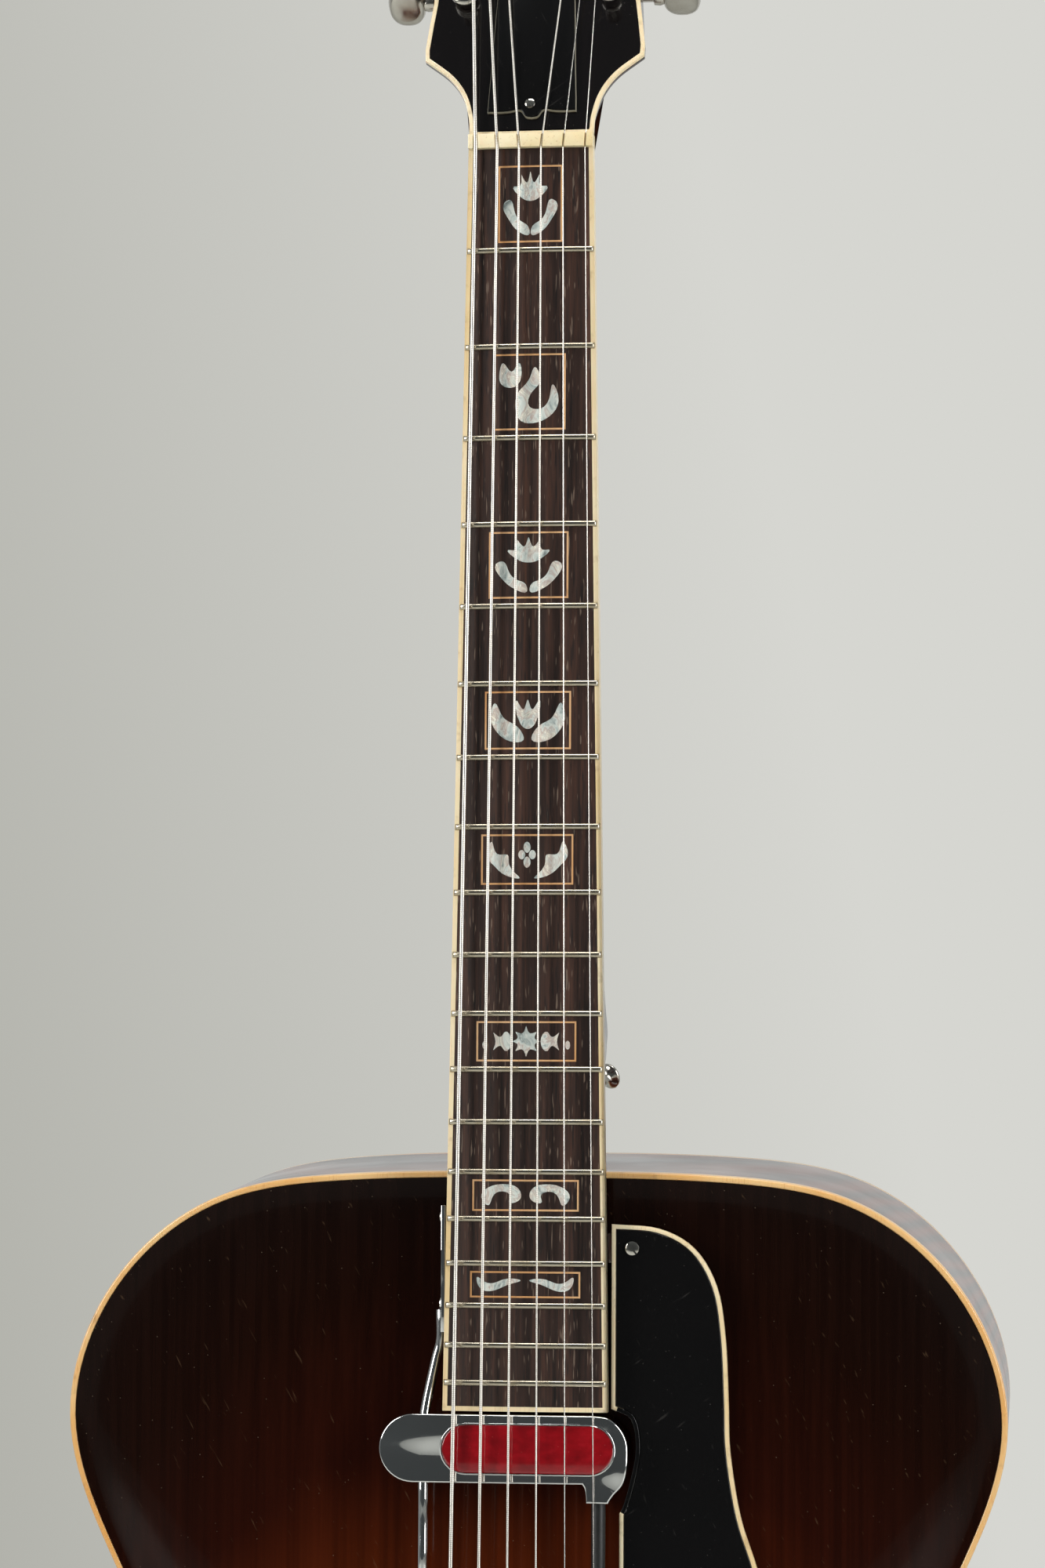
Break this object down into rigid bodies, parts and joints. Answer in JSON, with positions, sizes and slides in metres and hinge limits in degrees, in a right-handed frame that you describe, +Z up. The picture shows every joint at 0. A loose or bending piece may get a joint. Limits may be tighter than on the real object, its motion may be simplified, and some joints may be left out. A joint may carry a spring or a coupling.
{
  "type": "archtop acoustic guitar",
  "caption": "Archtop acoustic guitar with a carved sunburst body, bound fingerboard, floating bridge, hinged tailpiece and sliding pickup.",
  "frame": {"origin": "middle of the nut's front edge on the crown of the fingerboard, where a hanger's yoke meets the neck just above", "axes": "+Z up the neck to the headstock, +X to the treble side, +Y to the back"},
  "size_m": [0.4324, 0.1553, 1.0609],
  "materials": {
    "spruce_top": "gloss sunburst lacquer",
    "maple_body": "gloss sunburst lacquer",
    "inside_wood": "bare wood",
    "neck_wood": "gloss lacquer",
    "rosewood": "oiled, open pores",
    "ivoroid": "aged cream",
    "pearl": "pearl",
    "bone": "polished",
    "nickel_silver": "polished",
    "nickel": "nickel plate, light wear",
    "steel": "plain steel",
    "wound_string": "wound bronze",
    "brass": "turned brass",
    "black_gloss": "black lacquer",
    "black_plastic": "polished",
    "coil_black": "wound and taped",
    "red_window": "clear red plastic",
    "rubber_black": "moulded"
  },
  "bodies": {
    "guitar": {"top_plate": "spruce_top", "back_plate": "maple_body", "rim": "maple_body", "body_bindings": "ivoroid", "neck_block": "inside_wood", "tail_block": "inside_wood", "linings": "inside_wood", "tone_bars": "inside_wood", "fingerboard": "rosewood", "inlay_frames": "ivoroid", "pearl_inlays": "pearl", "fingerboard_binding": "ivoroid", "frets": "nickel_silver", "nut": "bone", "neck": "neck_wood", "truss_rod": "steel", "headstock_overlay": "black_gloss", "headstock_binding": "ivoroid", "truss_rod_cover": "black_plastic", "tuner_plates": "nickel", "tuner_bushings": "nickel", "wound_strings": "wound_string", "plain_strings": "steel", "bridge_base": "rosewood", "bridge_studs": "brass", "tailpiece_frame": "nickel", "tailpiece_bracket": "nickel", "tailpiece_pin": "steel", "strap_buttons": "nickel", "pickguard": "black_plastic", "pickguard_binding": "ivoroid", "pickguard_bracket": "nickel", "pickup_rod": "nickel", "control_box": "nickel", "output_jack": "nickel"},
    "tuner_key_1": {"tuner_key_1": "nickel"},
    "tuner_post_1": {"tuner_post_1": "nickel"},
    "tuner_key_2": {"tuner_key_2": "nickel"},
    "tuner_post_2": {"tuner_post_2": "nickel"},
    "tuner_key_3": {"tuner_key_3": "nickel"},
    "tuner_post_3": {"tuner_post_3": "nickel"},
    "tuner_key_4": {"tuner_key_4": "nickel"},
    "tuner_post_4": {"tuner_post_4": "nickel"},
    "tuner_key_5": {"tuner_key_5": "nickel"},
    "tuner_post_5": {"tuner_post_5": "nickel"},
    "tuner_key_6": {"tuner_key_6": "nickel"},
    "tuner_post_6": {"tuner_post_6": "nickel"},
    "wheel_bass": {"thumbwheel_bass": "brass"},
    "wheel_treble": {"thumbwheel_treble": "brass"},
    "saddle": {"bridge_saddle": "rosewood"},
    "pickup": {"pickup_housing": "nickel", "pickup_window": "red_window", "pickup_coil": "coil_black", "pickup_lead": "rubber_black"},
    "knob": {"control_knob": "black_plastic"},
    "rod_nut": {"truss_rod_nut": "brass"}
  },
  "joints": [
    {"name": "tuner_key_turn_1", "type": "hinge", "parent": "guitar", "child": "tuner_key_1", "pos_m": [-0.02519, 0.03673, 0.0617], "axis": [1, 0, 0], "range_deg": [-720, 720]},
    {"name": "tuner_post_turn_1", "type": "hinge", "parent": "guitar", "child": "tuner_post_1", "pos_m": [-0.02519, 0.03478, 0.05446], "axis": [0, 0.9659, -0.2588], "range_deg": [-52, 52]},
    {"name": "tuner_key_turn_2", "type": "hinge", "parent": "guitar", "child": "tuner_key_2", "pos_m": [-0.023, 0.04734, 0.10131], "axis": [1, 0, 0], "range_deg": [-720, 720]},
    {"name": "tuner_post_turn_2", "type": "hinge", "parent": "guitar", "child": "tuner_post_2", "pos_m": [-0.023, 0.0454, 0.09406], "axis": [0, 0.9659, -0.2588], "range_deg": [-52, 52]},
    {"name": "tuner_key_turn_3", "type": "hinge", "parent": "guitar", "child": "tuner_key_3", "pos_m": [-0.02081, 0.05795, 0.14091], "axis": [1, 0, 0], "range_deg": [-720, 720]},
    {"name": "tuner_post_turn_3", "type": "hinge", "parent": "guitar", "child": "tuner_post_3", "pos_m": [-0.02081, 0.05601, 0.13366], "axis": [0, 0.9659, -0.2588], "range_deg": [-52, 52]},
    {"name": "tuner_key_turn_4", "type": "hinge", "parent": "guitar", "child": "tuner_key_4", "pos_m": [0.02519, 0.03673, 0.0617], "axis": [1, 0, 0], "range_deg": [-720, 720]},
    {"name": "tuner_post_turn_4", "type": "hinge", "parent": "guitar", "child": "tuner_post_4", "pos_m": [0.02519, 0.03478, 0.05446], "axis": [0, 0.9659, -0.2588], "range_deg": [-52, 52]},
    {"name": "tuner_key_turn_5", "type": "hinge", "parent": "guitar", "child": "tuner_key_5", "pos_m": [0.023, 0.04734, 0.10131], "axis": [1, 0, 0], "range_deg": [-720, 720]},
    {"name": "tuner_post_turn_5", "type": "hinge", "parent": "guitar", "child": "tuner_post_5", "pos_m": [0.023, 0.0454, 0.09406], "axis": [0, 0.9659, -0.2588], "range_deg": [-52, 52]},
    {"name": "tuner_key_turn_6", "type": "hinge", "parent": "guitar", "child": "tuner_key_6", "pos_m": [0.02081, 0.05795, 0.14091], "axis": [1, 0, 0], "range_deg": [-720, 720]},
    {"name": "tuner_post_turn_6", "type": "hinge", "parent": "guitar", "child": "tuner_post_6", "pos_m": [0.02081, 0.05601, 0.13366], "axis": [0, 0.9659, -0.2588], "range_deg": [-52, 52]},
    {"name": "thumbwheel_bass_turn", "type": "hinge", "parent": "saddle", "child": "wheel_bass", "pos_m": [-0.037, 0.00484, -0.62785], "axis": [0, 0.9973, 0.0732], "range_deg": [0, 1080]},
    {"name": "thumbwheel_treble_turn", "type": "hinge", "parent": "saddle", "child": "wheel_treble", "pos_m": [0.037, 0.00484, -0.62785], "axis": [0, 0.9973, 0.0732], "range_deg": [0, 1080]},
    {"name": "saddle_lower", "type": "slide", "parent": "guitar", "child": "saddle", "axis": [0, 0.9973, 0.0732], "range_m": [0, 0.0021]},
    {"name": "pickup_slide", "type": "slide", "parent": "guitar", "child": "pickup", "axis": [0, 0, -1], "range_m": [0, 0.06], "deforming": ["pickup_lead"]},
    {"name": "volume_turn", "type": "hinge", "parent": "guitar", "child": "knob", "pos_m": [0.046, -0.0025, -0.585], "axis": [0, -1, 0], "range_deg": [-150, 150]},
    {"name": "truss_rod_nut_turn", "type": "hinge", "parent": "guitar", "child": "rod_nut", "pos_m": [0, 0.012, 0.017], "axis": [0, 0, 1], "range_deg": [-180, 180]}
  ],
  "couplings": [
    {"joint": "tuner_post_turn_1", "follows": "tuner_key_turn_1", "ratio": 0.071429},
    {"joint": "tuner_post_turn_2", "follows": "tuner_key_turn_2", "ratio": 0.071429},
    {"joint": "tuner_post_turn_3", "follows": "tuner_key_turn_3", "ratio": 0.071429},
    {"joint": "tuner_post_turn_4", "follows": "tuner_key_turn_4", "ratio": 0.071429},
    {"joint": "tuner_post_turn_5", "follows": "tuner_key_turn_5", "ratio": 0.071429},
    {"joint": "tuner_post_turn_6", "follows": "tuner_key_turn_6", "ratio": 0.071429},
    {"joint": "thumbwheel_bass_turn", "follows": "saddle_lower", "rad_per_m": 8976},
    {"joint": "thumbwheel_treble_turn", "follows": "saddle_lower", "rad_per_m": 8976}
  ]
}
